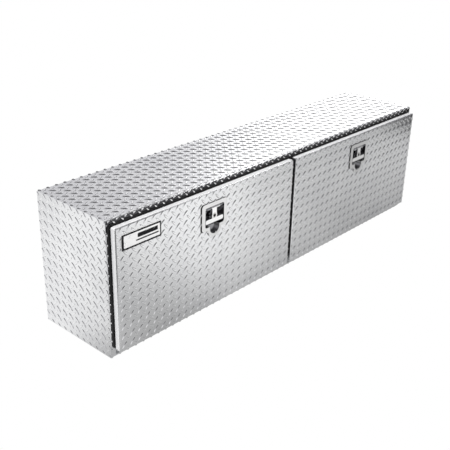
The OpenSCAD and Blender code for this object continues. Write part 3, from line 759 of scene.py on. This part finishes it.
def make_floor():
    """Pale paper: plain white to the camera, and shaded by listed curves in reflections."""
    half, drop = FLOOR_HALF, BAR_HEIGHT + FLOOR_GAP
    mesh = bpy.data.meshes.new("floor")
    corners = [(x * half, y * half, -drop) for x, y in ((-1, -1), (1, -1), (1, 1), (-1, 1))]
    mesh.from_pydata(corners, [], [(0, 1, 2, 3)])
    floor = bpy.data.objects.new("floor", mesh)
    bpy.context.scene.collection.objects.link(floor)
    m = Nodes("floor")
    place = m.add("ShaderNodeTexCoord").outputs["Object"]
    parts = m.add("ShaderNodeSeparateXYZ", {"Vector": place}).outputs
    along = blend_stops(m.tree, parts["X"], FLOOR_ALONG, -1.6, 2.2)
    forward = blend_stops(m.tree, parts["Y"], FLOOR_FORWARD, -1.0, 0.8)
    near = math_node(m.tree, "ADD", parts["Y"], 0.25)
    slanting = math_node(m.tree, "MULTIPLY_ADD", near, 1.1, parts["X"])
    slant = blend_stops(m.tree, slanting, FLOOR_SLANT, -1.2, 1.6)
    both = math_node(m.tree, "ADD", parts["X"], parts["Y"])
    cornerwise = math_node(m.tree, "MULTIPLY", both, -1.0)
    corner = blend_stops(m.tree, cornerwise, FLOOR_CORNER, 0.0, 3.0)
    paper = multiply(m.tree, multiply(m.tree, along, forward), multiply(m.tree, slant, corner))
    # Painted light and shade: reflections see the floor glow with these curves, while the camera
    # sees it plain white
    painted_floor_glow = m.add("ShaderNodeEmission", {"Color": paper}, Strength=FLOOR_GLOW)
    plain = m.add("ShaderNodeEmission", Strength=1.0)
    seen = m.add("ShaderNodeLightPath").outputs["Is Camera Ray"]
    pick = m.add("ShaderNodeMixShader", {0: seen, 1: painted_floor_glow.outputs[0], 2: plain.outputs[0]})
    m.tree.links.new(pick.outputs[0], m.tree.nodes["Material Output"].inputs["Surface"])
    mesh.materials.append(m.material)


# Brightness of the room above the floor, by compass angle from +X and by sine of elevation
ROOM_ROUND = ((-180, 0.60), (-152, 0.48), (-132, 0.30), (-113, 0.27), (-97, 0.30),
              (-80, 0.26), (-55, 0.20), (5, 0.19), (22, 0.10), (27, 1.0), (36, 0.93),
              (41, 0.58), (46, 0.46), (62, 0.40), (105, 0.50), (180, 0.60))
ROOM_UP = ((0.0, 1.0), (0.48, 1.0), (0.70, 0.38), (0.92, 0.13), (1.0, 0.13))
# A second panel, by the same two measures
PANEL_ROUND = ((20, 0.0), (26, 1.0), (36, 0.9), (46, 0.0))
PANEL_UP = ((0.10, 0.0), (0.30, 0.35), (0.55, 0.75), (0.86, 0.70), (0.96, 0.0))
# Tint of the dim and the bright parts
LILAC = ((0.0, (0.965, 0.955, 1.0)), (1.0, (1.0, 1.0, 1.0)))


ROOM_STRENGTH = 1.7


def make_world():
    """Dim room with one broad white panel behind on the right, and white beyond the camera."""
    world = bpy.data.worlds.new("studio")
    bpy.context.scene.world = world
    world.use_nodes = True
    tree = world.node_tree
    coords = tree.nodes.new("ShaderNodeTexCoord")
    split = tree.nodes.new("ShaderNodeSeparateXYZ")
    tree.links.new(coords.outputs["Generated"], split.inputs[0])
    turn = math_node(tree, "ARCTAN2", split.outputs["Y"], split.outputs["X"])
    compass = math_node(tree, "DEGREES", turn)
    around = blend_stops(tree, compass, ROOM_ROUND, -180, 180)
    up = blend_stops(tree, split.outputs["Z"], ROOM_UP)
    panel = multiply(tree, blend_stops(tree, compass, PANEL_ROUND, -180, 180),
                     blend_stops(tree, split.outputs["Z"], PANEL_UP))
    room = multiply(tree, multiply(tree, around, up), panel, "ADD")
    lilac = blend_stops(tree, room, LILAC)
    background = tree.nodes["Background"]
    tree.links.new(multiply(tree, room, lilac), background.inputs["Color"])
    background.inputs["Strength"].default_value = ROOM_STRENGTH
    plain = tree.nodes.new("ShaderNodeBackground")
    plain.inputs["Color"].default_value = (1, 1, 1, 1)
    seen = tree.nodes.new("ShaderNodeLightPath")
    pick = tree.nodes.new("ShaderNodeMixShader")
    tree.links.new(seen.outputs["Is Camera Ray"], pick.inputs[0])
    tree.links.new(background.outputs[0], pick.inputs[1])
    tree.links.new(plain.outputs[0], pick.inputs[2])
    tree.links.new(pick.outputs[0], tree.nodes["World Output"].inputs["Surface"])


def make_studio():
    make_floor()
    make_world()
    area_light("fill", (-1.6, -2.4, 2.2), (0, 0, 0.2), (1.6, 1.2), 60, False)
    area_light("edge", (2.0, -1.1, 2.4), (0, -0.1, 0.3), (0.9, 0.5), 10, True)
    area_light("overhead", (-0.4, -0.5, 2.6), (0, 0, 0.3), (1.8, 1.2), 22, False)
    area_light("left", (-2.8, -0.2, 1.0), (-0.7, 0, 0.2), (1.0, 1.0), 13, False)
    view = bpy.context.scene.view_settings
    view.view_transform, view.look = "Standard", "None"
    view.exposure, view.gamma = 0.0, 1.0


make_camera()
MATERIALS = make_materials()
dress_nodes(MATERIALS)
body_tread(MATERIALS)
for door_side in SIDES:
    door_skin(door_side, MATERIALS)
    door_tread(door_side, MATERIALS)
    seal(door_side, MATERIALS)
    spring(door_side, MATERIALS)
    gasket(door_side, MATERIALS)
    keyhole(door_side, MATERIALS)
label(MATERIALS)
make_studio()
